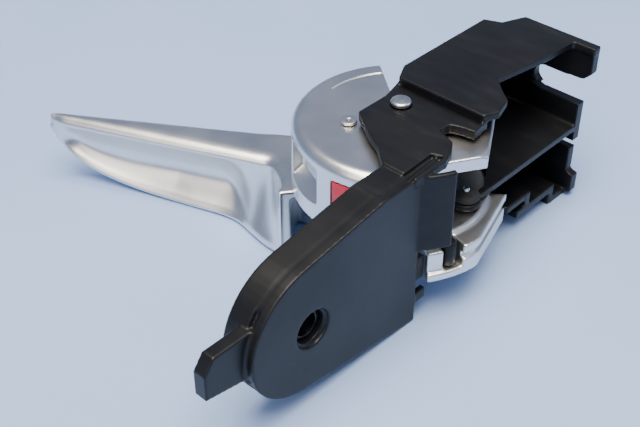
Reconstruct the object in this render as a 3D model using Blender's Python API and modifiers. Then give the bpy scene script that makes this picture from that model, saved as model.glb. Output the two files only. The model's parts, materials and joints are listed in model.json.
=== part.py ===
"""Interior car door handle: a black bracket that carries a pull lever and a lock knob on one upright pin.

Sizes are millimetres, and every mesh is made in metres. While modelling, the origin is on the pivot axis in
the plane of the knob's top, +X runs towards the cable end wall, -Y is the side of the fixing lug and +Z is up.
The last step moves the whole handle so that the origin is under the middle of its box, on its lowest plane.
"""

import math

import bmesh
import bpy
from mathutils import Matrix, Vector

MM = 0.001
GAP = 0.3

# Lock knob
KNOB_RADIUS = 30.0
KNOB_WALL = 2.2
KNOB_TOP_THICKNESS = 4.0
KNOB_RIM_FILLET = 2.7
KNOB_DEPTH = 21.7
KNOB_HUB_RADIUS = 8.0
KNOB_CUT_START, KNOB_CUT_END = -45.0, 52.0
KNOB_CUT_INNER_RADIUS = 10.0
KNOB_SKIRT_START, KNOB_SKIRT_END = 58.0, 201.0
KNOB_FLATS = ((239.0, 24.0), (301.0, 25.3))
THUMB_ANGLE, THUMB_SPREAD = 158.0, 15.0
THUMB_DEPTH, THUMB_TOP, THUMB_FLOOR = 4.5, -3.2, -17.0
MARK_ANGLE, MARK_SPREAD = 191.0, 7.0
MARK_TOP, MARK_HEIGHT, MARK_THICKNESS = -5.0, 9.0, 0.8

# Pin, bushes and washers
PIN_RADIUS = 2.5
PIN_HEAD_RADIUS, PIN_HEAD_HEIGHT = 2.9, 1.2
BUSH_WALL = 1.3
BUSH_LENGTH = 4.8
WASHER_THICKNESS = 0.5
WASHER_RADIUS = 7.2
PIN_GROOVE_DEPTH = 0.6
CLIP_RADIUS, CLIP_THICKNESS = 4.6, 0.5
PIN_TAIL = 3.0

# Bracket levels
PLATE_GAP = 1.1
PLATE_THICKNESS = 2.8
FLANGE_THICKNESS = 2.4
FLANGE_RISE = 2.2
GROUND = -46.0
BASE_TOP, BASE_THICKNESS = -34.5, 2.5
BASE_EAR_RADIUS = 10.5
BASE_END_X, STEP_END_X = 37.0, 50.5
STEP_BOTTOM = -41.5
WALL = 2.4
BACK_Y = 10.4
WALL_START_X = 32.5
END_X, END_WALL = 61.0, 3.0
END_STEP = 1.8
SHELF_TOP, SHELF_THICKNESS = -20.0, 2.0
RAIL_Y, RAIL_WIDTH, RAIL_START_X = -22.6, 2.0, 7.0

# Fixing lug
LUG_FRONT_Y, LUG_BACK_Y, LUG_SKIN = -24.5, -14.0, 2.5
LUG_GROOVE, LUG_GROOVE_DEPTH, GROOVE_REACH = 1.5, 1.0, 0.75
LUG_WALL = 2.5
LUG_RIGHT_X = -20.5
LUG_TOP = 3.2
LUG_END_X, LUG_END_Z, LUG_END_RADIUS = -60.5, -21.5, 20.4
LUG_END_DROP = 18.8
HOLE_BOSS_RADIUS, HOLE_RADIUS = 8.0, 4.6
COUNTERBORE_RADIUS, COUNTERBORE_DEPTH = 5.6, 1.0
SLEEVE_WALL, SLEEVE_RECESS = 1.0, 2.5
TAB_LENGTH, TAB_TOP, TAB_BOTTOM, TAB_THICKNESS = 12.2, -11.5, -23.0, 3.8
GUARD_WALL, GUARD_START, GUARD_END, GUARD_BOTTOM = 1.6, 227.5, 246.0, -21.0

# Lever
LEVER_TOP = -22.6
HUB_PLATE_RADIUS, HUB_PLATE_THICKNESS = 26.0, 2.5
BARREL_RADIUS = 8.0
LEVER_BOTTOM = -45.6
HUB_INNER_RADIUS = 13.0
POCKET_RADIUS, POCKET_START, POCKET_END = 30.5, 112.0, 148.0
BLADE_ANGLE = 113.3
BLADE_ROOT = (-17.4, 35.9)
BLADE_LENGTH = 73.0
BLADE_ROOT_WIDTH, BLADE_TIP_WIDTH = 15.3, 4.5
BLADE_DROP_POWER = 4.6
BLADE_FLARE, BLADE_FLARE_LENGTH = 3.0, 50.0
SCOOP_START, SCOOP_END, SCOOP_DEPTH, SCOOP_RIM = 9.0, 70.0, 7.5, 2.6
FRONT_BOW = 0.25
ARM_RADIUS, ARM_RIM = 32.0, 4.0
ARM_START, ARM_END = 254.8, 306.0
ARM_FLAT_ANGLE, ARM_FLAT_DISTANCE = 287.2, 29.45
ARM_TOP, ARM_BOTTOM = -23.5, -33.0
ARM_FLANGE, ARM_GROOVE, ARM_FLOOR = 2.5, 1.7, 2.4
HOOK_START, HOOK_TIP = 235.5, 244.8
HOOK_OUTER, HOOK_INNER = 30.5, 26.0
ARM_SWING = 50.0

# Cable clips and stops
LATCH_CLIP_RADIUS, LATCH_CLIP_NECK = 2.0, 1.3
LATCH_CLIP_PLACE_RADIUS = HUB_PLATE_RADIUS + GAP + LATCH_CLIP_RADIUS
LATCH_CLIP_ANGLE = (ARM_START + HOOK_TIP) / 2
LOCK_CLIP_RADIUS, LOCK_CLIP_NECK, LOCK_CLIP_LENGTH = 2.9, 2.0, 4.8
LOCK_ARM_ANGLE, LOCK_ARM_LENGTH, LOCK_ARM_WIDTH = 290.0, 17.0, 8.0
LOCK_ARM_THICKNESS = 2.0
RIVET_PLACE, RIVET_RADIUS = (-11.9, 8.2), 1.5
BUMPER_PLACE, BUMPER_RADIUS = (5.2, -20.3), 4.0
BUMPER_RIVET_RADIUS = 0.9
STOP_PAD_THICKNESS = 3.0

BASE_BOTTOM = BASE_TOP - BASE_THICKNESS
PLATE_BOTTOM = PLATE_GAP
PLATE_TOP = PLATE_BOTTOM + PLATE_THICKNESS
FLANGE_TOP = PLATE_TOP + FLANGE_RISE
BORE_RADIUS = PIN_RADIUS + GAP
BUSH_RADIUS = BORE_RADIUS + BUSH_WALL
BUSH_SEAT = BUSH_RADIUS + GAP
BARREL_BOTTOM = BASE_TOP + WASHER_THICKNESS + 2 * GAP
HINGE_SEGMENTS = 40


def polar(radius, angle):
    turn = math.radians(angle)
    return radius * math.cos(turn), radius * math.sin(turn)


def arc(centre, radius, start, end, steps):
    points = []
    for i in range(steps + 1):
        x, y = polar(radius, start + (end - start) * i / steps)
        points.append((centre[0] + x, centre[1] + y))
    return points


def ring_sector(inner, outer, start, end, steps=14):
    return arc((0, 0), outer, start, end, steps) + arc((0, 0), inner, end, start, steps)


def collection(name):
    group = bpy.data.collections.new(name)
    bpy.context.scene.collection.children.link(group)
    return group


def material(name, colour, roughness, metallic=0.0):
    made = bpy.data.materials.new(name)
    made.use_nodes = True
    shader = made.node_tree.nodes["Principled BSDF"]
    shader.inputs["Base Color"].default_value = (*colour, 1.0)
    shader.inputs["Roughness"].default_value = roughness
    shader.inputs["Metallic"].default_value = metallic
    return made


def mesh_object(name, mesh):
    piece = bpy.data.objects.new(name, mesh)
    TOOLS.objects.link(piece)
    piece.parent = ROOT
    piece.hide_render = True
    piece.display_type = "WIRE"
    return piece


def box(name, low, high):
    """A block between two corners."""
    form = bmesh.new()
    size = Vector(high) - Vector(low)
    middle = (Vector(high) + Vector(low)) / 2
    place = Matrix.Translation(middle * MM) @ Matrix.Diagonal((*(size * MM), 1.0))
    bmesh.ops.create_cube(form, size=1.0, matrix=place)
    mesh = bpy.data.meshes.new(name)
    form.to_mesh(mesh)
    form.free()
    return mesh_object(name, mesh)


TURNS = {
    "Z": Matrix.Identity(4),
    "Y": Matrix.Rotation(math.radians(90), 4, "X"),
    "X": Matrix(((0, 0, 1, 0), (1, 0, 0, 0), (0, 1, 0, 0), (0, 0, 0, 1))),
}


def rod(name, radius, low, high, centre=(0, 0), axis="Z", segments=HINGE_SEGMENTS):
    """A cylinder along an axis, from low to high on it; centre is its place across the axis."""
    form = bmesh.new()
    bmesh.ops.create_cone(form, cap_ends=True, segments=segments, radius1=radius * MM,
                          radius2=radius * MM, depth=(high - low) * MM)
    mesh = bpy.data.meshes.new(name)
    form.to_mesh(mesh)
    form.free()
    middle = (high + low) / 2
    place = {"Z": (*centre, middle), "Y": (centre[0], middle, centre[1]), "X": (middle, *centre)}[axis]
    mesh.transform(Matrix.Translation(Vector(place) * MM) @ TURNS[axis])
    return mesh_object(name, mesh)


def slab(name, outline, low, high, axis="Z"):
    """A flat outline given thickness along an axis: (x, y) for Z, (x, z) for Y and (y, z) for X."""
    curve = bpy.data.curves.new(name, "CURVE")
    curve.dimensions = "2D"
    curve.fill_mode = "BOTH"
    curve.extrude = (high - low) / 2 * MM
    line = curve.splines.new("POLY")
    line.points.add(len(outline) - 1)
    for point, (u, v) in zip(line.points, outline):
        point.co = (u * MM, v * MM, 0, 1)
    line.use_cyclic_u = True
    drawn = bpy.data.objects.new(name, curve)
    bpy.context.scene.collection.objects.link(drawn)
    seen = drawn.evaluated_get(bpy.context.evaluated_depsgraph_get())
    mesh = bpy.data.meshes.new_from_object(seen)
    bpy.data.objects.remove(drawn)
    middle = (high + low) / 2
    shift = {"Z": (0, 0, middle), "Y": (0, middle, 0), "X": (middle, 0, 0)}[axis]
    mesh.transform(Matrix.Translation(Vector(shift) * MM) @ TURNS[axis])
    form = bmesh.new()
    form.from_mesh(mesh)
    bmesh.ops.remove_doubles(form, verts=form.verts, dist=0.01 * MM)
    bmesh.ops.recalc_face_normals(form, faces=form.faces)
    form.to_mesh(mesh)
    form.free()
    return mesh_object(name, mesh)


def turned(name, profile, centre=(0, 0), segments=HINGE_SEGMENTS):
    """A closed (radius, z) profile swept round an upright axis; its outer side is listed from the top down."""
    form = bmesh.new()
    corners = [form.verts.new((radius * MM, 0, z * MM)) for radius, z in profile]
    for here, there in zip(corners, corners[1:] + corners[:1]):
        if here.co.x > 0 or there.co.x > 0:
            form.edges.new((here, there))
    mesh = bpy.data.meshes.new(name)
    form.to_mesh(mesh)
    form.free()
    piece = mesh_object(name, mesh)
    piece.location = (centre[0] * MM, centre[1] * MM, 0)
    sweep = piece.modifiers.new("turn", "SCREW")
    sweep.steps = sweep.render_steps = segments
    sweep.use_merge_vertices = True
    sweep.merge_threshold = 0.005 * MM
    sweep.use_smooth_shade = False
    return piece


def tube(name, outer, inner, low, high, centre=(0, 0), segments=HINGE_SEGMENTS):
    profile = [(outer, high), (outer, low), (inner, low), (inner, high)]
    return turned(name, profile, centre, segments)


def loft(name, sections):
    """A solid through sections that have the same number of points, capped at both ends."""
    form = bmesh.new()
    rings = [[form.verts.new(Vector(point) * MM) for point in section] for section in sections]
    for ring, following in zip(rings, rings[1:]):
        for i in range(len(ring)):
            j = (i + 1) % len(ring)
            form.faces.new((ring[i], ring[j], following[j], following[i]))
    form.faces.new(reversed(rings[0]))
    form.faces.new(rings[-1])
    bmesh.ops.triangulate(form, faces=[f for f in form.faces if len(f.verts) > 4])
    bmesh.ops.recalc_face_normals(form, faces=form.faces)
    mesh = bpy.data.meshes.new(name)
    form.to_mesh(mesh)
    form.free()
    return mesh_object(name, mesh)


def combine(target, tool, operation):
    step = target.modifiers.new(tool.name, "BOOLEAN")
    step.operation = operation
    step.object = tool
    step.solver = "EXACT"
    return target


def join(target, *tools):
    for tool in tools:
        combine(target, tool, "UNION")
    return target


def cut(target, *tools):
    for tool in tools:
        combine(target, tool, "DIFFERENCE")
    return target


def finish(piece, name, finish_material, parent):
    """Names a finished piece, gives it its material and hangs it on its axis."""
    piece.name = name
    piece.data.materials.clear()
    piece.data.materials.append(finish_material)
    TOOLS.objects.unlink(piece)
    PARTS.objects.link(piece)
    piece.hide_render = False
    piece.display_type = "TEXTURED"
    piece.parent = parent
    return piece


def axis_empty(name, parent=None):
    made = bpy.data.objects.new(name, None)
    PARTS.objects.link(made)
    made.parent = parent
    return made


# ---------------------------------------------------------------- bracket

def lug_outline(inset=0.0, end_inset=0.0):
    """The lug's side view, (x, z): a round end, and straight top and bottom edges to the open right end."""
    end = []
    for x, z in arc((0, 0), 1.0, 262, 98, 28):
        drop = LUG_END_RADIUS if z > 0 else LUG_END_DROP
        depth = end_inset if x < -GROOVE_REACH else inset
        end.append((LUG_END_X + (LUG_END_RADIUS - depth) * x, LUG_END_Z + (drop - depth) * z))
    top = [(-35.0, LUG_TOP - inset), (LUG_RIGHT_X - inset, LUG_TOP - inset)]
    return top + [(LUG_RIGHT_X - inset, GROUND + inset)] + end


def make_lug():
    skin = slab("lug_skin", lug_outline(), LUG_FRONT_Y, LUG_FRONT_Y + LUG_SKIN, "Y")
    body = slab("lug_body", lug_outline(), LUG_FRONT_Y + LUG_SKIN + LUG_GROOVE, LUG_BACK_Y, "Y")
    neck = slab("lug_neck", lug_outline(0.05, LUG_GROOVE_DEPTH), LUG_FRONT_Y + 1.0, LUG_BACK_Y - 1.0, "Y")
    hollow = slab("lug_hollow", lug_outline(LUG_WALL, LUG_WALL), LUG_FRONT_Y + LUG_SKIN, LUG_BACK_Y + 1.0, "Y")
    knob_way = box("knob_way", (LUG_RIGHT_X - LUG_WALL - 12, LUG_FRONT_Y + LUG_SKIN, ARM_BOTTOM - 1.0),
                   (LUG_RIGHT_X + 2, LUG_BACK_Y + 2, LUG_TOP - LUG_WALL))
    place = (LUG_END_X, LUG_END_Z)
    boss = rod("hole_boss", HOLE_BOSS_RADIUS, LUG_FRONT_Y + 0.5, LUG_BACK_Y, place, "Y")
    lug = join(skin, neck, body)
    cut(lug, hollow, knob_way)
    rib_z = LUG_END_Z - 0.8
    rib = box("lug_rib", (LUG_END_X + 4, LUG_FRONT_Y + 0.5, rib_z), (LUG_RIGHT_X - 14, LUG_BACK_Y - 2.2, rib_z + 1.8))
    join(lug, boss, rib)
    return lug


def make_tab():
    right = LUG_END_X - LUG_END_RADIUS + 3.0
    left = LUG_END_X - LUG_END_RADIUS - TAB_LENGTH
    outline = [(right, TAB_BOTTOM - 3.0), (right, TAB_TOP), (left + 3.0, TAB_TOP), (left, TAB_TOP - 4.0),
               (left, TAB_BOTTOM)]
    front = LUG_FRONT_Y + LUG_SKIN
    return slab("tab", outline, front, front + TAB_THICKNESS, "Y")


def make_pin_plate():
    outline = [(-10.3, 6.2), (0.9, 6.2), (9.6, 8.4), (9.6, -21.9), (3.0, -22.6), (2.2, -18.3), (1.2, -15.8),
               (-2.5, -15.3), (-4.6, -21.2), (-7.6, -23.3), (-12.0, -25.1), (-24.0, -24.9), (-24.0, -14.0),
               (-22.5, -12.0), (-19.0, -8.0), (-17.0, -4.0), (-15.5, -1.5)]
    return slab("pin_plate", outline, PLATE_BOTTOM, PLATE_TOP)


def make_flange():
    outline = [(7.8, 7.4), (13.6, BACK_Y), (51.0, BACK_Y), (53.1, 5.3), (60.8, 2.1), (END_X - 0.2, -24.3),
               (57.6, -24.3), (57.6, -17.0), (45.4, -16.0), (26.1, -12.9), (21.5, -17.9), (18.7, -21.6),
               (12.4, -23.5), (7.8, -21.7)]
    return slab("flange", outline, FLANGE_TOP - FLANGE_THICKNESS, FLANGE_TOP)


def make_end_wall():
    """The cable end wall, (y, z): its upper arm stands proud of the lower wall, with the lock cable's slot between."""
    lower = [(BACK_Y - 0.2, GROUND), (-21.0, GROUND), (-24.4, -44.0), (-24.4, -38.0), (-22.0, -37.0), (-22.0, -28.5),
             (-17.5, -28.5), (-16.0, -27.0), (-17.5, -25.5), (-22.6, -25.5), (-22.6, -12.5), (-8.5, -12.5), (-4.0, -11.0),
             (BACK_Y - 0.2, -4.0)]
    slot_end = arc((-8.5, -9.0), 3.5, -90, 90, 8)
    upper = [(BACK_Y - 2.0, -12.4)] + slot_end + [(-14.3, -5.5), (-21.8, -4.9), (-24.1, -2.6), (-24.1, FLANGE_TOP - 0.6),
                                                  (2.1, FLANGE_TOP - 0.6), (BACK_Y - 2.0, -2.0)]
    inner = END_X - END_STEP - END_WALL
    wall = slab("end_wall", lower, inner, inner + END_WALL, "X")
    return join(wall, slab("end_arm", upper, END_X - END_WALL, END_X, "X"))


def make_base():
    """The base plate: an ear round the pin, a foot into the lug, and two steps down to the end wall's foot."""
    ear = arc((0, 0), BASE_EAR_RADIUS, 62, 200, 12)
    outline = [(BASE_END_X, BACK_Y - 0.4), (WALL_START_X - 2, BACK_Y - 0.4)] + ear
    outline += [(-20.0, -14.6), (-34.0, -17.0), (-34.0, -24.0), (LUG_RIGHT_X - 1, -24.0), (-14.0, -16.0),
                (6.0, -11.0), (20.0, -13.0), (25.5, -21.8), (BASE_END_X, -21.8)]
    base = slab("base", outline, BASE_BOTTOM, BASE_TOP)
    riser = box("riser", (BASE_END_X - WALL, -21.9, STEP_BOTTOM + 0.1), (BASE_END_X + 0.1, BACK_Y - 0.5, BASE_TOP - 0.1))
    step = box("step", (BASE_END_X - WALL - 4, -22.0, STEP_BOTTOM), (STEP_END_X, BACK_Y - 0.6, STEP_BOTTOM + BASE_THICKNESS))
    drop = box("drop", (STEP_END_X - WALL, -21.9, GROUND + 0.1),
               (STEP_END_X + 0.1, BACK_Y - 0.7, STEP_BOTTOM + BASE_THICKNESS - 0.1))
    foot = box("foot", (STEP_END_X - 1, -22.0, GROUND), (END_X - END_STEP - 1, BACK_Y - 0.8, GROUND + BASE_THICKNESS))
    return join(base, riser, step, drop, foot)


def make_shelf():
    """The shelf above the lever: its left edge runs slantwise from the rail to the back wall."""
    right = END_X - END_STEP - 1
    outline = [(9.8, RAIL_Y), (right, RAIL_Y), (right, BACK_Y - 0.6), (WALL_START_X - 1, BACK_Y - 0.6), (31.0, -9.8),
               (20.5, -16.2)]
    return slab("shelf", outline, SHELF_TOP - SHELF_THICKNESS, SHELF_TOP)


def make_bracket(black, root):
    bracket = make_lug()
    back_outline = [(WALL_START_X, STEP_BOTTOM + 1), (STEP_END_X, STEP_BOTTOM + 1), (STEP_END_X, GROUND + 0.3),
                    (END_X - END_STEP - 0.3, GROUND + 0.3), (END_X - END_STEP - 0.3, -3.0), (50.0, FLANGE_TOP - 1),
                    (WALL_START_X, FLANGE_TOP - 1)]
    back = slab("back_wall", back_outline, BACK_Y - WALL, BACK_Y - 0.1, "Y")
    rail = box("rail", (RAIL_START_X, RAIL_Y + 0.1, SHELF_TOP - SHELF_THICKNESS + 0.05),
               (WALL_START_X + 2, RAIL_Y + RAIL_WIDTH, SHELF_TOP - 0.05))
    guard = slab("knob_guard", ring_sector(KNOB_RADIUS + 1.0, KNOB_RADIUS + 1.0 + GUARD_WALL, GUARD_START, GUARD_END),
                 GUARD_BOTTOM, LUG_TOP - 0.3)
    boss_reach = BUMPER_RADIUS + 0.4
    bumper_boss = rod("bumper_boss", boss_reach, SHELF_TOP - SHELF_THICKNESS + 0.1, SHELF_TOP - 0.1, BUMPER_PLACE)
    stop_rib = box("stop_rib", (24.0, closed_stop_y() + STOP_PAD_THICKNESS + GAP, ARM_BOTTOM),
                   (WALL_START_X + 2, BACK_Y - 0.5, LEVER_TOP - HUB_PLATE_THICKNESS - 0.6))
    rib_post = box("rib_post", (27.5, BACK_Y - WALL, BASE_TOP - 1), (WALL_START_X + 2, BACK_Y - 0.7, ARM_BOTTOM + 4))
    peg = box("lug_peg", (LUG_RIGHT_X - 2, LUG_FRONT_Y + 0.3, -40.5), (LUG_RIGHT_X + 4.5, LUG_FRONT_Y + 2.2, -37.0))
    join(bracket, make_tab(), make_pin_plate(), make_flange(), make_end_wall(), back, make_shelf(), rail, guard,
         bumper_boss, make_base(), stop_rib, rib_post, peg)
    place = (LUG_END_X, LUG_END_Z)
    hole = rod("screw_hole", HOLE_RADIUS, LUG_FRONT_Y - 1, LUG_BACK_Y + 1, place, "Y")
    counterbore = rod("counterbore", COUNTERBORE_RADIUS, LUG_FRONT_Y - 1, LUG_FRONT_Y + COUNTERBORE_DEPTH, place, "Y")
    pin_bore = rod("pin_bore", BORE_RADIUS, GROUND - 1, FLANGE_TOP + 1)
    bumper_hole = rod("bumper_hole", BUMPER_RADIUS - 0.9, SHELF_TOP - SHELF_THICKNESS - 1, SHELF_TOP + 1, BUMPER_PLACE)
    cut(bracket, hole, counterbore, pin_bore, bumper_hole)
    return finish(bracket, "bracket", black, root)


def closed_stop_y():
    """Where the release arm's leading edge comes to rest, seen at the stop pad's middle."""
    edge = math.radians(ARM_END + ARM_SWING)
    return 27.0 * math.tan(edge) + 1.0


def make_stop_pads(rubber, root):
    low = closed_stop_y()
    closed = box("pad", (24.5, low, ARM_BOTTOM + 0.5), (29.5, low + STOP_PAD_THICKNESS, ARM_TOP - 3.0))
    finish(closed, "closed_stop_pad", rubber, root)
    reach = LUG_FRONT_Y + 0.5
    edge_x = reach / math.tan(math.radians(HOOK_START - 1.0))
    opened = box("pad", (LUG_RIGHT_X + GAP, reach, ARM_BOTTOM + 0.5), (edge_x, LUG_FRONT_Y + LUG_SKIN, ARM_TOP - 1.5))
    finish(opened, "open_stop_pad", rubber, root)


def make_bumper(rubber, steel, root):
    """The domed bumper in the rail's end, which bears on the lever's hub plate, and its rivet."""
    stem = BUMPER_RADIUS - 0.9 - GAP
    low = LEVER_TOP + GAP
    dome = [(BUMPER_RADIUS * math.cos(math.radians(a)), SHELF_TOP + GAP + 2.2 * math.sin(math.radians(a)))
            for a in (75, 55, 35, 15, 0)]
    bore = BUMPER_RIVET_RADIUS + GAP
    profile = [(bore, dome[0][1] + 0.05)] + dome + [(stem, SHELF_TOP + GAP), (stem, low), (bore, low)]
    finish(turned("bumper", profile, BUMPER_PLACE, 24), "lever_bumper", rubber, root)
    rivet = rod("rivet", BUMPER_RIVET_RADIUS, low + 0.2, SHELF_TOP + 3.4, BUMPER_PLACE, segments=16)
    finish(rivet, "bumper_rivet", steel, root)


def make_sleeve(steel, root):
    outer = HOLE_RADIUS - GAP
    sleeve = rod("sleeve", outer, LUG_FRONT_Y + SLEEVE_RECESS, LUG_BACK_Y, (LUG_END_X, LUG_END_Z), "Y")
    bore = rod("sleeve_bore", outer - SLEEVE_WALL, LUG_FRONT_Y - 1, LUG_BACK_Y + 1, (LUG_END_X, LUG_END_Z), "Y")
    finish(cut(sleeve, bore), "lug_sleeve", steel, root)


# ---------------------------------------------------------------- pin and its fittings

def make_pin(steel, root):
    """The pin with its head on the pin plate and a groove for the clip under the base plate."""
    clip_top = BASE_BOTTOM - GAP
    clip_low = clip_top - CLIP_THICKNESS
    neck = PIN_RADIUS - PIN_GROOVE_DEPTH
    head_low = PLATE_TOP + GAP
    profile = [(0.0, head_low + PIN_HEAD_HEIGHT), (PIN_HEAD_RADIUS - 0.4, head_low + PIN_HEAD_HEIGHT),
               (PIN_HEAD_RADIUS, head_low + PIN_HEAD_HEIGHT - 0.4), (PIN_HEAD_RADIUS, head_low),
               (PIN_RADIUS, head_low), (PIN_RADIUS, clip_top), (neck, clip_top), (neck, clip_low - GAP),
               (PIN_RADIUS - 0.3, clip_low - GAP), (PIN_RADIUS - 0.3, BASE_BOTTOM - PIN_TAIL),
               (0.0, BASE_BOTTOM - PIN_TAIL)]
    pin = turned("pin", profile)
    finish(pin, "pivot_pin", steel, root)
    ring = tube("clip", CLIP_RADIUS, neck + GAP, clip_low, clip_top - 0.05, segments=28)
    mouth = box("clip_mouth", (0, -1.3, clip_low - 1), (CLIP_RADIUS + 1, 1.3, clip_top + 1))
    finish(cut(ring, mouth), "pin_retaining_clip", steel, root)


def make_washers(nylon, steel, root, lever_axis, knob_axis):
    low = BASE_TOP + GAP
    finish(tube("washer", WASHER_RADIUS, BORE_RADIUS, low, low + WASHER_THICKNESS), "lever_friction_washer", steel, root)
    upper = finish(tube("washer", WASHER_RADIUS - 0.6, BORE_RADIUS, GAP, PLATE_BOTTOM - GAP), "knob_friction_washer",
                   steel, root)
    middle = tube("washer", WASHER_RADIUS, BORE_RADIUS, LEVER_TOP + GAP - 0.05, -KNOB_DEPTH - 0.1)
    finish(middle, "knob_washer", nylon, root)
    knob_bush = tube("bush", BUSH_RADIUS, BORE_RADIUS, -BUSH_LENGTH * 2, -0.2)
    finish(knob_bush, "knob_bush", nylon, knob_axis)
    upper = tube("bush", BUSH_RADIUS, BORE_RADIUS, LEVER_TOP - BUSH_LENGTH, LEVER_TOP - 0.2)
    finish(upper, "upper_lever_bush", nylon, lever_axis)
    lower = tube("bush", BUSH_RADIUS, BORE_RADIUS, BARREL_BOTTOM + 0.2, BARREL_BOTTOM + BUSH_LENGTH)
    finish(lower, "lower_lever_bush", nylon, lever_axis)


# ---------------------------------------------------------------- lock knob

def knob_profile():
    """Half section of the whole cup, before its sector, flat and skirt are cut."""
    fillet = [(KNOB_RADIUS - KNOB_RIM_FILLET + x, -KNOB_RIM_FILLET + z)
              for x, z in arc((0, 0), KNOB_RIM_FILLET, 90, 0, 4)]
    inner = KNOB_RADIUS - KNOB_WALL
    return ([(BUSH_SEAT, 0)] + fillet
            + [(KNOB_RADIUS, -KNOB_DEPTH), (inner, -KNOB_DEPTH), (inner, -KNOB_TOP_THICKNESS - 1.0),
               (inner - 1.0, -KNOB_TOP_THICKNESS), (KNOB_HUB_RADIUS, -KNOB_TOP_THICKNESS),
               (KNOB_HUB_RADIUS, -KNOB_DEPTH), (BUSH_SEAT, -KNOB_DEPTH)])


def make_knob(chrome, knob_axis):
    knob = turned("knob", knob_profile(), segments=72)
    reach = KNOB_RADIUS + 3
    pad_outline = ring_sector(KNOB_RADIUS - THUMB_DEPTH - 1.8, KNOB_RADIUS - 1.0,
                              THUMB_ANGLE - THUMB_SPREAD - 4, THUMB_ANGLE + THUMB_SPREAD + 4)
    thumb_pad = slab("thumb_pad", pad_outline, THUMB_FLOOR - 2.0, -1.0)
    join(knob, thumb_pad)
    sector = slab("sector", ring_sector(KNOB_CUT_INNER_RADIUS, reach, KNOB_CUT_START, KNOB_CUT_END), -40, 5)
    skirt_gap = slab("skirt_gap", ring_sector(KNOB_HUB_RADIUS + 2, reach, KNOB_SKIRT_END, 360 + KNOB_SKIRT_START, 20),
                     -40, -KNOB_TOP_THICKNESS - 0.2)
    cut(knob, sector, skirt_gap, thumb_cutter(), mark_cutter(GAP), rivet_cutter())
    for angle, distance in KNOB_FLATS:
        flat = box("flat", (distance, -40, -40), (reach + 5, 40, 5))
        flat.data.transform(Matrix.Rotation(math.radians(angle), 4, "Z"))
        cut(knob, flat)
    return finish(knob, "lock_knob", chrome, knob_axis)


def thumb_cutter():
    """A wedge that leaves a sloping ledge below and a short wall above, for the thumb."""
    half = math.radians(THUMB_SPREAD)
    side = (KNOB_RADIUS + 2) * math.tan(half)
    near = KNOB_RADIUS - THUMB_DEPTH
    outline = [(near, THUMB_TOP - 1.5), (near, THUMB_FLOOR + 4), (KNOB_RADIUS + 2, THUMB_FLOOR - 1),
               (KNOB_RADIUS + 2, THUMB_TOP)]
    wedge = slab("thumb_wedge", outline, -side * 0.9, side * 0.9, "Y")
    wedge.data.transform(Matrix.Rotation(math.radians(THUMB_ANGLE), 4, "Z"))
    return wedge


def mark_outline(clearance):
    spread = MARK_SPREAD + math.degrees(clearance / KNOB_RADIUS)
    return ring_sector(KNOB_RADIUS - MARK_THICKNESS - clearance, KNOB_RADIUS + (2.0 if clearance else -0.1),
                       MARK_ANGLE - spread, MARK_ANGLE + spread, 6)


def mark_cutter(clearance):
    low = MARK_TOP - MARK_HEIGHT
    return slab("mark_cutter", mark_outline(clearance), low - clearance, MARK_TOP + clearance)


def rivet_cutter():
    return rod("rivet_hole", RIVET_RADIUS + GAP, -KNOB_TOP_THICKNESS - 3, 3, RIVET_PLACE, segments=20)


def lock_arm_z():
    top = -KNOB_TOP_THICKNESS - GAP - 0.2
    return top - LOCK_ARM_THICKNESS, top


def make_knob_fittings(red, chrome, steel, black, knob_axis):
    mark = slab("mark", mark_outline(0), MARK_TOP - MARK_HEIGHT, MARK_TOP)
    finish(mark, "red_indicator", red, knob_axis)
    arm_low, arm_high = lock_arm_z()
    profile = [(RIVET_RADIUS + 0.8, 1.0), (RIVET_RADIUS + 0.8, GAP), (RIVET_RADIUS, GAP), (RIVET_RADIUS, arm_low - 0.8),
               (RIVET_RADIUS - 0.9, arm_low - 0.8), (RIVET_RADIUS - 0.9, 1.0)]
    finish(turned("rivet", profile, RIVET_PLACE, 24), "knob_rivet", chrome, knob_axis)
    hub = KNOB_HUB_RADIUS + GAP
    plate = rod("lock_arm", hub + 3.5, arm_low, arm_high)
    tip = polar(LOCK_ARM_LENGTH, LOCK_ARM_ANGLE)
    root_side = arc((0, 0), LOCK_ARM_WIDTH / 2, LOCK_ARM_ANGLE + 90, LOCK_ARM_ANGLE + 270, 6)
    tip_side = arc(tip, LOCK_ARM_WIDTH / 2, LOCK_ARM_ANGLE - 90, LOCK_ARM_ANGLE + 90, 8)
    reach = slab("lock_arm_reach", root_side + tip_side, arm_low + 0.05, arm_high - 0.05)
    ear = rod("lock_arm_ear", RIVET_RADIUS + 3, arm_low + 0.1, arm_high - 0.1, RIVET_PLACE, segments=24)
    join(plate, reach, ear)
    cut(plate, rod("lock_arm_bore", hub, arm_low - 1, arm_high + 1), rivet_cutter(),
        rod("lock_clip_hole", LOCK_CLIP_NECK + GAP, arm_low - 1, arm_high + 1, tip, segments=20))
    finish(plate, "lock_arm", steel, knob_axis)
    make_lock_clip(black, tip, arm_low, arm_high, knob_axis)


def make_lock_clip(black, place, seat_low, seat_high, knob_axis):
    """A snap-in clip for the lock cable's end: a neck through the lock arm and a barrel below it."""
    profile = [(0.0, seat_high - 0.1), (LOCK_CLIP_NECK, seat_high - 0.1), (LOCK_CLIP_NECK, seat_low - GAP),
               (LOCK_CLIP_RADIUS, seat_low - GAP), (LOCK_CLIP_RADIUS, seat_low - LOCK_CLIP_LENGTH),
               (0.0, seat_low - LOCK_CLIP_LENGTH)]
    finish(turned("clip", profile, place, 24), "lock_cable_clip", black, knob_axis)


# ---------------------------------------------------------------- lever

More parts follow.
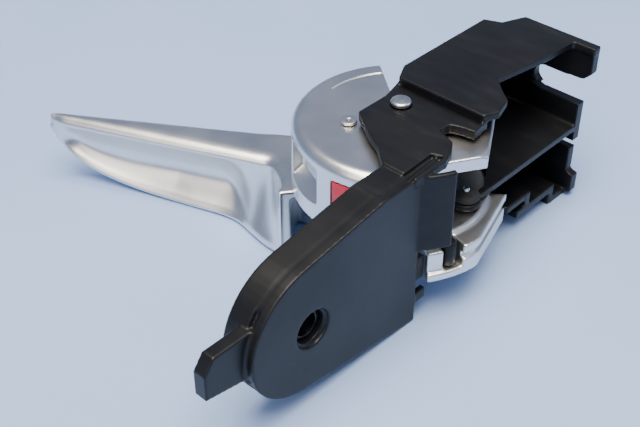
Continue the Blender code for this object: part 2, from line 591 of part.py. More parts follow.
def blade_section(s):
    """The blade's cross-section, s millimetres from its root: a closed loop with the finger scoop in front."""
    share = s / BLADE_LENGTH
    width = BLADE_ROOT_WIDTH + (BLADE_TIP_WIDTH - BLADE_ROOT_WIDTH) * share
    full = LEVER_TOP - LEVER_BOTTOM
    height = full * math.sqrt(1.0 - (share * 0.996) ** BLADE_DROP_POWER)
    top = LEVER_TOP - 0.5 - 0.6 * share
    low = top - height + 0.6
    edge = min(2.2, height / 4)
    reach = min(max((s - SCOOP_START) / 9.0, 0.0), max((SCOOP_END - s) / 9.0, 0.0), 1.0)
    depth = min(SCOOP_DEPTH, width * 0.55) * math.sin(math.radians(90 * reach))
    rim = min(SCOOP_RIM, height / 4)
    scoop_high, scoop_low = top - rim, low + rim
    span = scoop_high - scoop_low
    flare = BLADE_FLARE * max(0.0, 1.0 - s / BLADE_FLARE_LENGTH)
    loop = [(edge * 0.3, top - edge * 0.3), (edge, top), (width - edge, top - 0.3), (width, top - edge - 0.3),
            (width * 0.92, low + height * 0.35), (width * 0.6, low + edge * 0.6), (width * 0.35, low),
            (edge * 0.4 - flare, low), (-flare, low + edge * 0.5), (-flare * 0.7, scoop_low)]
    for turn in (0.12, 0.3, 0.5, 0.7, 0.88):
        bow = FRONT_BOW * math.sin(math.pi * turn) + flare * 0.7 * (1.0 - turn)
        loop.append((depth * math.sin(math.pi * turn) ** 0.7 - bow, scoop_low + span * turn))
    loop += [(0.0, scoop_high)]
    along = Vector((math.cos(math.radians(BLADE_ANGLE)), math.sin(math.radians(BLADE_ANGLE)), 0))
    across = Vector((along.y, -along.x, 0))
    start = Vector((*BLADE_ROOT, 0))
    return [tuple(start + along * s + across * n + Vector((0, 0, z))) for n, z in loop]


def make_hub_block():
    """The block between the blade and the barrel; its front face flares outwards towards the bottom."""
    inner = arc((0, 0), HUB_INNER_RADIUS, 70, 139, 6)
    back = [(-8.0, 48.2), (-2.5, 40.2), (4.2, 30.2), (7.0, 25.2)]
    top_front = [(-26.2, 21.5), (-22.4, 25.2), (-18.6, 30.0), (-17.0, 35.0), (-18.4, 40.0), (-20.8, 45.0)]
    low_front = [(-26.6, 22.0), (-26.9, 26.0), (-26.6, 30.0), (-25.6, 35.0), (-23.8, 40.0), (-22.4, 45.0)]
    sections = []
    for front, z in ((top_front, LEVER_TOP - 0.2), (top_front, LEVER_TOP - 4.5), (low_front, LEVER_BOTTOM)):
        outline = back + inner + front
        sections.append([(x, y, z) for x, y in outline])
    return loft("hub_block", sections)


def arm_outline(other_radius, inset, start, end, steps=18):
    """A band of the release arm between a plain radius and its outer edge, which is straight behind the pivot."""
    edge = []
    for i in range(steps + 1):
        angle = start + (end - start) * i / steps
        straight = ARM_FLAT_DISTANCE / math.cos(math.radians(angle - ARM_FLAT_ANGLE))
        edge.append(polar(min(ARM_RADIUS, straight) - inset, angle))
    return edge + arc((0, 0), other_radius, end, start, steps)


def make_release_arm():
    """The curved arm behind the pivot: an upper flange, a grooved rim and the hook that ends it."""
    flange = slab("arm_flange", arm_outline(BUSH_SEAT + 1, 0, ARM_START, ARM_END), ARM_TOP - ARM_FLANGE, ARM_TOP)
    rim = slab("arm_rim", arm_outline(ARM_RADIUS - ARM_RIM - 3, 0.05, ARM_START + 0.2, ARM_END - 0.2), ARM_BOTTOM,
               ARM_TOP - 0.5)
    groove_outline = arm_outline(ARM_RADIUS + 2, ARM_GROOVE, ARM_START - 2, ARM_END + 2)
    groove = slab("arm_groove", groove_outline, ARM_TOP - ARM_FLANGE - 2.2, ARM_TOP - ARM_FLANGE - 0.2)
    floor = slab("arm_floor", arm_outline(HOOK_INNER - 2, 0.1, HOOK_START, ARM_END - 0.4), ARM_BOTTOM - 0.1,
                 ARM_BOTTOM + ARM_FLOOR)
    hook = slab("arm_hook", ring_sector(HOOK_INNER, HOOK_OUTER, HOOK_START + 0.1, HOOK_TIP), ARM_BOTTOM + 0.1,
                ARM_TOP - 0.9)
    cut(rim, groove)
    return join(flange, rim, floor, hook)


def make_lever(chrome, lever_axis):
    stations = [0, 6, 10, 14, 19, 26, 34, 42, 50, 57, 62, 66, 69, 71, 72.3, BLADE_LENGTH]
    lever = loft("blade", [blade_section(s) for s in stations])
    plate = rod("hub_plate", HUB_PLATE_RADIUS, LEVER_TOP - HUB_PLATE_THICKNESS, LEVER_TOP - 0.05, segments=64)
    barrel = rod("barrel", BARREL_RADIUS, BARREL_BOTTOM, LEVER_TOP - 0.1)
    web = box("barrel_web", (-1.3, 3.0, BARREL_BOTTOM + 0.2), (1.3, HUB_INNER_RADIUS + 3, LEVER_TOP - 1))
    web.data.transform(Matrix.Rotation(math.radians(15), 4, "Z"))
    pocket = slab("hub_pocket", ring_sector(HUB_INNER_RADIUS - 1, POCKET_RADIUS, POCKET_START, POCKET_END), GROUND - 1,
                  LEVER_TOP - HUB_PLATE_THICKNESS)
    join(lever, cut(make_hub_block(), pocket), plate, barrel, web, make_release_arm())
    clip_place = polar(LATCH_CLIP_PLACE_RADIUS, LATCH_CLIP_ANGLE)
    shaft = rod("clip_hole", LATCH_CLIP_NECK + GAP, ARM_BOTTOM - 1, ARM_TOP + 1, clip_place, segments=20)
    bore = rod("lever_bore", BUSH_SEAT, GROUND, LEVER_TOP + 1)
    cut(lever, bore, shaft)
    finish(lever, "lever", chrome, lever_axis)


def make_latch_clip(black, lever_axis):
    """The latch cable's clip stands in the notch of the release arm, on the arm's floor."""
    place = polar(LATCH_CLIP_PLACE_RADIUS, LATCH_CLIP_ANGLE)
    floor_top = ARM_BOTTOM + ARM_FLOOR
    profile = [(0.0, ARM_TOP + 0.6), (LATCH_CLIP_RADIUS - 0.4, ARM_TOP + 0.6), (LATCH_CLIP_RADIUS, ARM_TOP),
               (LATCH_CLIP_RADIUS, floor_top + GAP), (LATCH_CLIP_NECK, floor_top + GAP),
               (LATCH_CLIP_NECK, ARM_BOTTOM - 0.1), (0.0, ARM_BOTTOM - 0.1)]
    finish(turned("clip", profile, place, 24), "latch_cable_clip", black, lever_axis)


# ---------------------------------------------------------------- whole handle

def stand_on_origin(root):
    """Moves the handle so that its box is centred over the origin and stands on it."""
    bpy.context.view_layer.update()
    graph = bpy.context.evaluated_depsgraph_get()
    low, high = Vector((1e9,) * 3), Vector((-1e9,) * 3)
    for piece in PARTS.objects:
        if piece.type != "MESH":
            continue
        seen = piece.evaluated_get(graph)
        for vertex in seen.data.vertices:
            place = seen.matrix_world @ vertex.co
            low = Vector(map(min, low, place))
            high = Vector(map(max, high, place))
    root.location = (-(low.x + high.x) / 2, -(low.y + high.y) / 2, -low.z)
    bpy.context.view_layer.update()
    print("pivot axis at", tuple(round(v, 6) for v in root.location), "box", tuple(round(v, 6) for v in high - low))


def main():
    black = material("black glass-filled plastic", (0.012, 0.012, 0.014), 0.42)
    chrome = material("satin chrome", (0.72, 0.72, 0.71), 0.28, 1.0)
    steel = material("plated steel", (0.62, 0.62, 0.6), 0.3, 1.0)
    red = material("red mark", (0.66, 0.02, 0.04), 0.45)
    rubber = material("black rubber", (0.015, 0.015, 0.015), 0.8)
    nylon = material("natural nylon", (0.72, 0.7, 0.62), 0.5)
    root = ROOT
    lever_axis = axis_empty("lever_axis", root)
    knob_axis = axis_empty("knob_axis", root)
    make_bracket(black, root)
    make_stop_pads(rubber, root)
    make_bumper(rubber, steel, root)
    make_sleeve(steel, root)
    make_pin(steel, root)
    make_washers(nylon, steel, root, lever_axis, knob_axis)
    make_knob(chrome, knob_axis)
    make_knob_fittings(red, chrome, steel, black, knob_axis)
    make_lever(chrome, lever_axis)
    make_latch_clip(black, lever_axis)
    stand_on_origin(root)


for leftover in list(bpy.data.objects):
    bpy.data.objects.remove(leftover, do_unlink=True)
PARTS = collection("car_door_handle")
TOOLS = collection("cutters")
ROOT = axis_empty("door_handle")
main()
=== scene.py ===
import json
import math

import bpy
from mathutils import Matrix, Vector


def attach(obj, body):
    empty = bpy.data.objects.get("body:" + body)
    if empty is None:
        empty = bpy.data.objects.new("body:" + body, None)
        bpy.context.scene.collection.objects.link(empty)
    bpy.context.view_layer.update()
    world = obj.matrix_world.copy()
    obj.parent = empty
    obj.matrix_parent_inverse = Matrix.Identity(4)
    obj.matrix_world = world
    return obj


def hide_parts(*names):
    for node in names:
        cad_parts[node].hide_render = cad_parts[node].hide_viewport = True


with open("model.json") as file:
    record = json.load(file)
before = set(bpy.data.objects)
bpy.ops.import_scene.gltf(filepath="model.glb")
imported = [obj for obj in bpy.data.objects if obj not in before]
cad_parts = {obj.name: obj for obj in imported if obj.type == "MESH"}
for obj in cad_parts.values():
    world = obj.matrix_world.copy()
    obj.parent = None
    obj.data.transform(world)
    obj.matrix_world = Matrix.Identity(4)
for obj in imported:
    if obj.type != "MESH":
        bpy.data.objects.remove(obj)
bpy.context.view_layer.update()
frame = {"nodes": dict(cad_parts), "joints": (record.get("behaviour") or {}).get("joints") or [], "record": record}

MM = 0.001
PIVOT = Vector(frame["joints"][0]["pos_m"])

# Lever, in millimetres along the blade (s), across it (n) and up (z), from the pivot axis at the knob's top
BLADE_ANGLE = 113.3
BLADE_ROOT = (-17.4, 35.9)
BLADE_TIP = 73.0
BLADE_START = -10.4
BLADE_WIDTH, BLADE_TAPER, HUB_TAPER = 15.3, 0.148, 0.18
LEVER_TOP, LEVER_BOTTOM = -22.75, -45.6
TOP_FALL = 0.9
DROP_POWER, DROP_SHARE, TIP_HEIGHT = 4.6, 0.9965, 5.5
TIP_SETBACK, TIP_SETBACK_START, TIP_SETBACK_LENGTH = 1.0, 66.0, 7.0
TIP_ROUND_START, TIP_ROUND, TIP_WIDTH = 70.0, 3.3, 2.6
FRONT_EDGE = ((-10.4, -14.9), (-7.9, -8.9), (-4.9, -3.7), (-2.5, -1.1), (-0.8, -0.05), (3, 0), (73, 0))
FRONT_FOOT = ((-10.4, -14.3), (-5.3, -12.6), (-1.8, -10.6), (2.4, -7.9), (6.3, -5.2), (11, -3.2), (18, -2.2),
              (50, -0.2), (73, 0))
RIM_HIGH, RIM_LOW = 2.7, 1.7
SCOOP_DEPTH, SCOOP_WIDTH_SHARE = 6.4, 0.6
SCOOP_TIP_GAP, SCOOP_TIP_LENGTH = 2.6, 5.0
CREST_ROUND, CREST_WIDTH, SILL_ROUND = 2.7, 5.0, 1.1
BACK_ROUND, BACK_SHOULDER, BACK_DROP = 1.8, 2.6, 0.5
FINE_FROM, COARSE_STATIONS, FINE_STATIONS = 60.0, 62, 18
HUB_CUT = -9.2
POCKET_INNER, POCKET_RADIUS, POCKET_START, POCKET_END = 12.0, 30.5, 112.0, 148.0
HUB_PLATE_BOTTOM = -25.1

# Lock knob: its rolled edge, and the shallow arc on its top: radius, half width, centre height and angles
KNOB_RADIUS, KNOB_FILLET = 30.0, 3.4
CREASE_RADIUS, CREASE_HALF, CREASE_HEIGHT, CREASE_START, CREASE_END = 23.2, 0.55, 0.25, 50.0, 97.0
CREASE_REACH = (18.0, 28.0)

# Bracket: (x, y) outlines of the slot on the lug's top and of its rib, and the groove at the flange's step
SLOT = ((-34.4, -21.6), (-30.0, -21.2), (-12.6, -20.5), (-11.4, -23.7), (-33.2, -24.0))
SLOT_BOTTOM = 2.5
SLOT_RIB = ((-24.0, -22.6), (-12.0, -21.7), (-12.0, -22.2), (-24.0, -23.1))
STEP_GROOVE = ((6.7, -21.3, 2.9), (7.7, 6.6, 4.4))

# Voxel size and rounds of softening for the skins of the castings and the moulding
LEVER_GRAIN, LEVER_ROUNDS = 0.45, 5
KNOB_GRAIN, KNOB_ROUNDS = 0.36, 3
MOULD_GRAIN, MOULD_ROUNDS, MOULD_SHARE = 0.36, 1, 0.32

EDGE_BREAK = 0.12
EDGE_BREAKS = {"pivot_pin": 0.25, "knob_rivet": 0.2, "bumper_rivet": 0.2}
SHARP_ANGLE = 35.0

LIGHT_AIM = (0, 0, 0.03)


def spot(x, y, z):
    """A point given in millimetres from the pivot axis in the plane of the knob's top."""
    return PIVOT + Vector((x, y, z)) * MM


def polar(radius, angle):
    turn = math.radians(angle)
    return radius * math.cos(turn), radius * math.sin(turn)


# ---------------------------------------------------------------- modelling helpers

def clear():
    bpy.ops.object.select_all(action="DESELECT")


def pick(*pieces):
    clear()
    for piece in pieces:
        piece.select_set(True)
    bpy.context.view_layer.objects.active = pieces[0]


def settle_place(piece):
    """Puts the object's place into its mesh, so that the object itself sits at the origin."""
    pick(piece)
    bpy.ops.object.transform_apply(location=True, rotation=True, scale=True)


def apply_all(piece):
    pick(piece)
    for step in list(piece.modifiers):
        bpy.ops.object.modifier_apply(modifier=step.name)


def bevel(piece, width):
    step = piece.modifiers.new("edge", "BEVEL")
    step.width = width * MM
    step.segments = 2
    step.limit_method = "ANGLE"
    step.angle_limit = math.radians(SHARP_ANGLE)
    step.use_clamp_overlap = True
    step.miter_outer = "MITER_ARC"
    apply_all(piece)


def boolean(piece, tool, operation):
    step = piece.modifiers.new("cut", "BOOLEAN")
    step.operation = operation
    step.object = tool
    step.solver = "EXACT"
    apply_all(piece)
    bpy.data.objects.remove(tool)


def cast(piece, grain, rounds, share=1.0):
    """Welds overlapping solids into one skin with soft edges, as a casting or a moulding has."""
    skin = piece.modifiers.new("skin", "REMESH")
    skin.mode = "VOXEL"
    skin.voxel_size = grain * MM
    skin.use_smooth_shade = True
    soft = piece.modifiers.new("soft", "SMOOTH")
    soft.factor = 0.5
    soft.iterations = rounds
    if share < 1.0:
        thin = piece.modifiers.new("thin", "DECIMATE")
        thin.ratio = share
    apply_all(piece)
    pick(piece)
    bpy.ops.object.shade_smooth()


def copy_node(node, name):
    """A welded copy of a CAD node's mesh, to work on."""
    piece = bpy.data.objects.new(name, frame["nodes"][node].data.copy())
    bpy.context.collection.objects.link(piece)
    piece.data.materials.clear()
    pick(piece)
    bpy.ops.object.mode_set(mode="EDIT")
    bpy.ops.mesh.select_all(action="SELECT")
    bpy.ops.mesh.remove_doubles(threshold=0.01 * MM)
    bpy.ops.mesh.dissolve_limited(angle_limit=math.radians(0.5))
    bpy.ops.object.mode_set(mode="OBJECT")
    return piece


def block(name, low, high):
    """A cube between two corners, in millimetres from the pivot."""
    middle = [(a + b) / 2 for a, b in zip(low, high)]
    clear()
    bpy.ops.mesh.primitive_cube_add(size=1, location=spot(*middle))
    piece = bpy.context.object
    piece.name = name
    piece.scale = [(b - a) * MM for a, b in zip(low, high)]
    settle_place(piece)
    return piece


def disc(name, radius, low, high, sides):
    """An upright cylinder on the pivot axis."""
    clear()
    bpy.ops.mesh.primitive_cylinder_add(vertices=sides, radius=radius * MM, depth=(high - low) * MM,
                                        location=spot(0, 0, (low + high) / 2))
    piece = bpy.context.object
    piece.name = name
    settle_place(piece)
    return piece


def prism(name, outline, low, high):
    """A circle whose corners are moved to an (x, y) outline, filled and extruded upwards."""
    clear()
    bpy.ops.mesh.primitive_circle_add(vertices=len(outline), radius=0.01, fill_type="NGON")
    piece = bpy.context.object
    piece.name = name
    for corner, (x, y) in zip(piece.data.vertices, outline):
        corner.co = spot(x, y, low)
    bpy.ops.object.mode_set(mode="EDIT")
    bpy.ops.mesh.select_all(action="SELECT")
    bpy.ops.mesh.extrude_region_move(TRANSFORM_OT_translate={"value": (0, 0, (high - low) * MM)})
    bpy.ops.mesh.select_all(action="SELECT")
    bpy.ops.mesh.normals_make_consistent(inside=False)
    bpy.ops.object.mode_set(mode="OBJECT")
    settle_place(piece)
    return piece


def sector(inner, outer, start, end):
    """The outline of a part of a ring, in 24 steps."""
    turns = [start + (end - start) * i / 24 for i in range(25)]
    return [polar(outer, a) for a in turns] + [polar(inner, a) for a in reversed(turns)]


def hand_over(piece, body, finish, slot, *nodes):
    """Gives a finished piece its material and its body, and hides the CAD nodes that it stands for."""
    piece.data.materials.clear()
    piece.data.materials.append(finish)
    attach(piece, body)
    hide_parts(*nodes)


# ---------------------------------------------------------------- lever

def ease(table, s):
    """A smooth curve through (s, value) points."""
    if s <= table[0][0]:
        return table[0][1]
    for i in range(len(table) - 1):
        (s0, v0), (s1, v1) = table[i], table[i + 1]
        if s <= s1:
            before, after = table[max(i - 1, 0)], table[min(i + 2, len(table) - 1)]
            m0 = (v1 - before[1]) / (s1 - before[0])
            m1 = (after[1] - v0) / (after[0] - s0)
            t, h = (s - s0) / (s1 - s0), s1 - s0
            return ((2 * t**3 - 3 * t**2 + 1) * v0 + (t**3 - 2 * t**2 + t) * h * m0
                    + (3 * t**2 - 2 * t**3) * v1 + (t**3 - t**2) * h * m1)
    return table[-1][1]


def ramp(value):
    value = min(max(value, 0.0), 1.0)
    return value * value * (3 - 2 * value)


def blade_loop(s):
    """The lever's cross-section at s, as (n, z) points: a grip with a scooped front between two rims."""
    share = max(s, 0.0) / BLADE_TIP
    full = LEVER_TOP - LEVER_BOTTOM
    top = LEVER_TOP - TOP_FALL * share
    height = max(full * math.sqrt(max(1.0 - (share * DROP_SHARE) ** DROP_POWER, 0.0)), TIP_HEIGHT)
    low = top - height
    width = BLADE_WIDTH - (BLADE_TAPER if s > 0 else HUB_TAPER) * s
    edge, foot = ease(FRONT_EDGE, s), ease(FRONT_FOOT, s)
    edge += TIP_SETBACK * ramp((s - TIP_SETBACK_START) / TIP_SETBACK_LENGTH) ** 2
    plan = math.sqrt(max(1 - (max(s - TIP_ROUND_START, 0) / TIP_ROUND) ** 2, 0))
    width = edge + max((width - edge) * plan, TIP_WIDTH)
    crest, sill = min(CREST_ROUND, height * 0.3), min(SILL_ROUND, height * 0.2)
    crest_width = min(CREST_WIDTH, width * 0.5)
    rim_high, rim_low = min(RIM_HIGH, height * 0.34), min(RIM_LOW, height * 0.24)
    box_like = ramp((10.0 - s) / 12.0)
    points = []
    for i in range(9):
        turn = math.radians(180 - 80 * i / 8)
        points.append((edge + crest_width * (1 + math.cos(turn)), top - crest * (1 - math.sin(turn))))
    start_n, start_z = points[-1]
    shoulder = min(BACK_SHOULDER, height * 0.3)
    drop = BACK_DROP * (1.0 - box_like)
    for i in range(1, 7):
        along = i / 7
        rise = (top - start_z) * math.sin(math.pi / 2 * min(along * 3, 1))
        points.append((start_n + (width - BACK_ROUND - start_n) * along, start_z + rise - drop * along ** 3))
    for i in range(7):
        turn = math.radians(90 - 90 * i / 6)
        points.append((width - BACK_ROUND + BACK_ROUND * math.cos(turn),
                       top - drop - shoulder * (1 - math.sin(turn))))
    belly = edge + (width - edge) * (0.3 + 0.5 * box_like)
    power = 0.62 - 0.42 * box_like
    start = top - drop - shoulder
    for i in range(1, 13):
        turn = math.radians(90 * i / 12)
        points.append((belly + (width - belly) * max(math.cos(turn), 0.0) ** power,
                       start - (start - low) * math.sin(turn)))
    for i in range(1, 4):
        along = i / 4
        points.append((belly + (foot + sill - belly) * along, low))
    for i in range(6):
        turn = math.radians(270 - 90 * i / 5)
        points.append((foot + sill * (1 + math.cos(turn)), low + sill * (1 + math.sin(turn))))
    face_low, face_high = low + rim_low, top - rim_high
    depth = min(SCOOP_DEPTH, SCOOP_WIDTH_SHARE * width)
    tip_reach = ramp((BLADE_TIP - SCOOP_TIP_GAP - s) / SCOOP_TIP_LENGTH)
    for i in range(1, 24):
        t = 1 - i / 24
        z = face_high + (face_low - face_high) * t
        reach = ramp((s + 3.0 - 4.0 * t) / (25.0 - 16.0 * t)) * tip_reach
        scoop = math.sin(math.pi * t ** 1.2) ** 0.85
        n = edge + (foot - edge) * t ** (1.6 - 0.5 * ramp(s / 20)) + depth * reach * scoop
        points.append((n, z))
    return points


def blade_place(s, n, z):
    """The point at s along the blade, n across it and z up."""
    along = Vector((*polar(1.0, BLADE_ANGLE), 0))
    across = Vector((along.y, -along.x, 0))
    return spot(*BLADE_ROOT, 0) + (along * s + across * n + Vector((0, 0, z))) * MM


def make_blade():
    """The grip: a grid wrapped round its own cross-sections, with both ends closed."""
    stations = [BLADE_START + (FINE_FROM - BLADE_START) * i / COARSE_STATIONS
                for i in range(COARSE_STATIONS + 1)]
    stations += [FINE_FROM + (BLADE_TIP - FINE_FROM) * math.sin(math.pi / 2 * i / FINE_STATIONS)
                 for i in range(1, FINE_STATIONS + 1)]
    loops = [blade_loop(s) for s in stations]
    count = len(loops[0])
    clear()
    bpy.ops.mesh.primitive_grid_add(x_subdivisions=count, y_subdivisions=len(stations) - 1, size=1.0)
    blade = bpy.context.object
    blade.name = "lever_casting"
    for vertex in blade.data.vertices:
        i = round((vertex.co.x + 0.5) * count) % count
        j = round((vertex.co.y + 0.5) * (len(stations) - 1))
        n, z = loops[j][i]
        vertex.co = blade_place(stations[j], n, z)
    bpy.ops.object.mode_set(mode="EDIT")
    bpy.ops.mesh.select_all(action="SELECT")
    bpy.ops.mesh.remove_doubles(threshold=0.001 * MM)
    bpy.ops.mesh.select_all(action="DESELECT")
    bpy.ops.mesh.select_non_manifold()
    bpy.ops.mesh.edge_face_add()
    bpy.ops.mesh.select_all(action="SELECT")
    bpy.ops.mesh.normals_make_consistent(inside=False)
    bpy.ops.object.mode_set(mode="OBJECT")
    settle_place(blade)
    return blade


def make_lever(chrome):
    """The grip and the hub become one casting, with soft fillets where they meet."""
    blade = make_blade()
    pocket = prism("pocket", sector(POCKET_INNER, POCKET_RADIUS, POCKET_START, POCKET_END),
                   LEVER_BOTTOM - 3, HUB_PLATE_BOTTOM)
    boolean(blade, pocket, "DIFFERENCE")
    hub = copy_node("lever", "lever_hub")
    along = Vector((*polar(1.0, BLADE_ANGLE), 0))
    bpy.ops.object.mode_set(mode="EDIT")
    bpy.ops.mesh.select_all(action="SELECT")
    bpy.ops.mesh.bisect(plane_co=blade_place(HUB_CUT, 0, 0), plane_no=along, use_fill=True, clear_outer=True)
    bpy.ops.object.mode_set(mode="OBJECT")
    pick(blade, hub)
    bpy.ops.object.join()
    cast(blade, LEVER_GRAIN, LEVER_ROUNDS)
    hand_over(blade, "lever_body", chrome, "satin_chrome", "lever")


# ---------------------------------------------------------------- lock knob

def make_knob(chrome):
    """The knob keeps what lies in a disc with a wide rolled edge, and gets an arc pressed in its top."""
    knob = copy_node("lock_knob", "lock_knob_casting")
    dome = disc("dome", KNOB_RADIUS, -40, 0.02, sides=240)
    pick(dome)
    bpy.ops.object.mode_set(mode="EDIT")
    bpy.ops.mesh.select_mode(type="FACE")
    bpy.ops.mesh.select_all(action="DESELECT")
    bpy.ops.object.mode_set(mode="OBJECT")
    for face in dome.data.polygons:
        face.select = face.normal.z > 0.9
    bpy.ops.object.mode_set(mode="EDIT")
    bpy.ops.mesh.bevel(offset=KNOB_FILLET * MM, segments=10, affect="EDGES")
    bpy.ops.object.mode_set(mode="OBJECT")
    boolean(knob, dome, "INTERSECT")
    cast(knob, KNOB_GRAIN, KNOB_ROUNDS)
    clear()
    bpy.ops.mesh.primitive_torus_add(major_radius=CREASE_RADIUS * MM, minor_radius=CREASE_HALF * MM,
                                     major_segments=144, minor_segments=10,
                                     location=spot(0, 0, CREASE_HEIGHT))
    crease = bpy.context.object
    keep = prism("keep", sector(*CREASE_REACH, CREASE_START, CREASE_END), -2, 2)
    boolean(crease, keep, "INTERSECT")
    boolean(knob, crease, "DIFFERENCE")
    pick(knob)
    bpy.ops.object.shade_smooth()
    hand_over(knob, "knob_body", chrome, "satin_chrome", "lock_knob")


# ---------------------------------------------------------------- bracket

def make_bracket(black):
    """The bracket gets the slot on the lug's top, with its rib, and the groove along the flange's step."""
    bracket = copy_node("bracket", "bracket_moulding")
    boolean(bracket, prism("groove", SLOT, SLOT_BOTTOM, SLOT_BOTTOM + 3.5), "DIFFERENCE")
    boolean(bracket, prism("rib", SLOT_RIB, SLOT_BOTTOM - 0.5, SLOT_BOTTOM + 0.7), "UNION")
    boolean(bracket, block("step_groove", *STEP_GROOVE), "DIFFERENCE")
    cast(bracket, MOULD_GRAIN, MOULD_ROUNDS, MOULD_SHARE)
    hand_over(bracket, "bracket_body", black, "black_plastic", "bracket")


# ---------------------------------------------------------------- small fittings

def make_fittings(finishes):
    """Every other node is a copy with broken edges. A finish goes by the node's name, or else by its slot."""
    bodies = {node: body for body, nodes in frame["record"]["behaviour"]["bodies"].items() for node in nodes}
    slots = {part["node"]: part["material_slot"] for part in frame["record"]["subparts"]}
    for node in frame["nodes"]:
        if node in ("bracket", "lever", "lock_knob"):
            continue
        piece = copy_node(node, node + "_finished")
        bevel(piece, EDGE_BREAKS.get(node, EDGE_BREAK))
        pick(piece)
        bpy.ops.object.shade_smooth_by_angle(angle=math.radians(SHARP_ANGLE))
        hand_over(piece, bodies[node], finishes.get(node, finishes[slots[node]]), slots[node], node)


# ---------------------------------------------------------------- materials

class Finish:
    """A material with a Principled shader and short calls for the nodes that it needs."""

    def __init__(self, name, colour, roughness, metallic=0.0):
        self.material = bpy.data.materials.new(name)
        self.material.use_nodes = True
        self.nodes = self.material.node_tree.nodes
        self.links = self.material.node_tree.links
        self.shader = self.nodes["Principled BSDF"]
        self.shader.inputs["Base Color"].default_value = (*colour, 1)
        self.shader.inputs["Roughness"].default_value = roughness
        self.shader.inputs["Metallic"].default_value = metallic
        self.place = self.nodes.new("ShaderNodeTexCoord").outputs["Object"]

    def mapped(self, scale):
        node = self.nodes.new("ShaderNodeMapping")
        node.inputs["Scale"].default_value = scale
        self.links.new(self.place, node.inputs["Vector"])
        return node.outputs["Vector"]

    def noise(self, scale, detail, vector=None):
        node = self.nodes.new("ShaderNodeTexNoise")
        node.inputs["Scale"].default_value = scale
        node.inputs["Detail"].default_value = detail
        node.inputs["Roughness"].default_value = 0.55
        self.links.new(vector or self.place, node.inputs["Vector"])
        return node.outputs["Fac"]

    def spread(self, value, low, high):
        """Noise between 0.3 and 0.7, spread from low to high."""
        node = self.nodes.new("ShaderNodeMapRange")
        for name, number in (("From Min", 0.3), ("From Max", 0.7), ("To Min", low), ("To Max", high)):
            node.inputs[name].default_value = number
        self.links.new(value, node.inputs["Value"])
        return node.outputs["Result"]

    def colours(self, value, stops):
        node = self.nodes.new("ShaderNodeValToRGB")
        elements = node.color_ramp.elements
        while len(elements) < len(stops):
            elements.new(0.5)
        for stop, (place, colour) in zip(elements, stops):
            stop.position = place
            stop.color = (*colour, 1)
        self.links.new(value, node.inputs["Fac"])
        return node.outputs["Color"]

    def bump(self, height, strength, distance):
        node = self.nodes.new("ShaderNodeBump")
        node.inputs["Strength"].default_value = strength
        node.inputs["Distance"].default_value = distance * MM
        self.links.new(height, node.inputs["Height"])
        self.drive("Normal", node.outputs["Normal"])

    def drive(self, socket, output):
        self.links.new(output, self.shader.inputs[socket])


def satin_chrome():
    """Satin nickel-chrome plating: a fine pearl-like grain and slow cloudiness."""
    finish = Finish("satin chrome", (0.80, 0.79, 0.77), 0.3, 1.0)
    haze = finish.noise(60, 2)
    pearl = finish.noise(2600, 2)
    finish.drive("Base Color", finish.colours(haze, ((0.3, (0.74, 0.735, 0.725)), (0.7, (0.82, 0.81, 0.79)))))
    finish.drive("Roughness", finish.spread(haze, 0.27, 0.34))
    finish.bump(pearl, 0.12, 0.01)
    return finish.material


def black_plastic():
    """Glass-filled nylon: near black, with a spark-eroded grain and paler fibre streaks."""
    finish = Finish("black glass-filled plastic", (0.012, 0.012, 0.015), 0.4)
    streaks = finish.noise(260, 4, finish.mapped((1.0, 0.25, 1.0)))
    cloud = finish.noise(35, 2)
    tones = ((0.35, (0.0045, 0.0048, 0.006)), (0.62, (0.007, 0.0074, 0.009)), (0.8, (0.013, 0.0135, 0.016)))
    finish.drive("Base Color", finish.colours(streaks, tones))
    finish.drive("Roughness", finish.spread(cloud, 0.3, 0.44))
    finish.bump(finish.noise(1500, 3), 0.22, 0.03)
    finish.shader.inputs["Specular IOR Level"].default_value = 0.26
    return finish.material


def plated_steel():
    """Bright zinc-plated steel, with fine level marks as turning leaves them."""
    finish = Finish("plated steel", (0.68, 0.67, 0.65), 0.26, 1.0)
    cloud = finish.noise(300, 3)
    finish.drive("Base Color", finish.colours(cloud, ((0.3, (0.6, 0.59, 0.57)), (0.7, (0.74, 0.73, 0.71)))))
    finish.drive("Roughness", finish.spread(cloud, 0.2, 0.34))
    finish.bump(finish.noise(900, 2, finish.mapped((1, 1, 6))), 0.15, 0.02)
    return finish.material


def hole_shade_steel():
    """Steel painted near black and mottled: painted shade for the dark inside of the lug's hole."""
    finish = Finish("steel painted as hole shade", (0.05, 0.05, 0.055), 0.35, 1.0)
    cloud = finish.noise(500, 3)
    tones = ((0.3, (0.035, 0.035, 0.04)), (0.75, (0.09, 0.088, 0.085)))
    finish.drive("Base Color", finish.colours(cloud, tones))
    finish.bump(cloud, 0.2, 0.02)
    return finish.material


def red_paint():
    """Red paint under a thin clear coat."""
    finish = Finish("red mark", (0.5, 0.004, 0.014), 0.3)
    cloud = finish.noise(400, 2)
    tones = ((0.3, (0.46, 0.003, 0.012)), (0.7, (0.56, 0.005, 0.017)))
    finish.drive("Base Color", finish.colours(cloud, tones))
    finish.bump(finish.noise(1200, 2), 0.1, 0.02)
    finish.shader.inputs["Coat Weight"].default_value = 0.4
    finish.shader.inputs["Coat Roughness"].default_value = 0.15
    return finish.material


def black_rubber():
    """Matt moulded rubber."""
    finish = Finish("black rubber", (0.016, 0.016, 0.016), 0.75)
    finish.drive("Roughness", finish.spread(finish.noise(700, 3), 0.62, 0.85))
    finish.bump(finish.noise(1400, 3), 0.3, 0.04)
    return finish.material


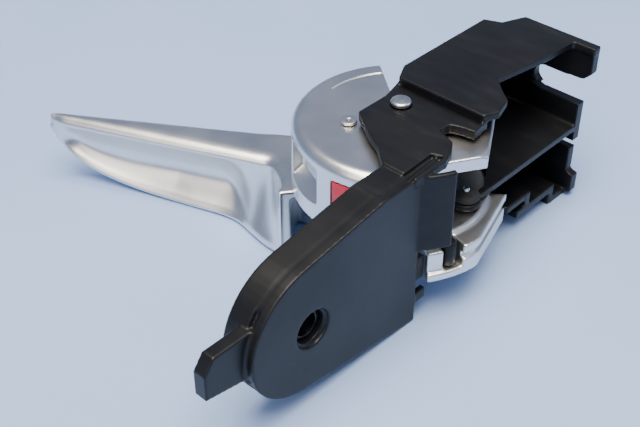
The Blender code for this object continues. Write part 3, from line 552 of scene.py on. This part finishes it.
def natural_nylon():
    """Unpigmented nylon, faintly clouded."""
    finish = Finish("natural nylon", (0.74, 0.70, 0.60), 0.42)
    cloud = finish.noise(250, 2)
    finish.drive("Base Color", finish.colours(cloud, ((0.3, (0.70, 0.66, 0.56)), (0.7, (0.78, 0.75, 0.66)))))
    finish.bump(finish.noise(1100, 2), 0.12, 0.02)
    return finish.material


# ---------------------------------------------------------------- studio

def add_camera():
    data = bpy.data.cameras.new("camera")
    data.lens = 63.0
    data.sensor_width = 36.0
    camera = bpy.data.objects.new("camera", data)
    bpy.context.scene.collection.objects.link(camera)
    camera.location = PIVOT + Vector((-0.2023, -0.1596, 0.1670))
    camera.rotation_euler = (math.radians(90 - 38.0), 0, math.radians(43.15 - 90))
    bpy.context.scene.camera = camera


def area_light(name, place, size, power, colour):
    light = bpy.data.lights.new(name, "AREA")
    light.shape = "RECTANGLE"
    light.size, light.size_y = size
    light.energy = power
    light.color = colour
    lamp = bpy.data.objects.new(name, light)
    bpy.context.scene.collection.objects.link(lamp)
    lamp.location = place
    lamp.rotation_euler = (Vector(LIGHT_AIM) - Vector(place)).to_track_quat("-Z", "Y").to_euler()


def add_studio():
    clear()
    bpy.ops.mesh.primitive_plane_add(size=4, location=(0, 0, 0))
    floor = bpy.context.object
    floor.name = "floor"
    paper = Finish("pale paper", (0.55, 0.66, 0.84), 0.75)
    tone = paper.noise(8, 2)
    paper.drive("Base Color", paper.colours(tone, ((0.3, (0.30, 0.43, 0.72)), (0.7, (0.33, 0.46, 0.76)))))
    floor.data.materials.append(paper.material)
    world = bpy.data.worlds.new("room")
    bpy.context.scene.world = world
    world.use_nodes = True
    sky = world.node_tree.nodes["Background"]
    sky.inputs["Color"].default_value = (0.36, 0.45, 0.68, 1)
    sky.inputs["Strength"].default_value = 0.62
    warm, cool = (1.0, 0.91, 0.76), (0.86, 0.92, 1.0)
    area_light("overhead softbox", (-0.12, -0.1, 0.8), (0.7, 0.7), 19, warm)
    area_light("front softbox", (-0.75, -0.1, 0.5), (0.5, 0.5), 2.0, warm)
    area_light("side card", (0.6, -0.7, 0.5), (0.5, 0.4), 1.2, cool)


add_camera()
add_studio()
chrome, plastic = satin_chrome(), black_plastic()
make_lever(chrome)
make_knob(chrome)
make_bracket(plastic)
# The lug's sleeve gets steel painted near black: painted shade for the inside of the lug's hole.
make_fittings({"black_plastic": plastic, "satin_chrome": chrome, "plated_steel": plated_steel(),
               "red_mark": red_paint(), "rubber": black_rubber(), "nylon": natural_nylon(),
               "lug_sleeve": hole_shade_steel()})
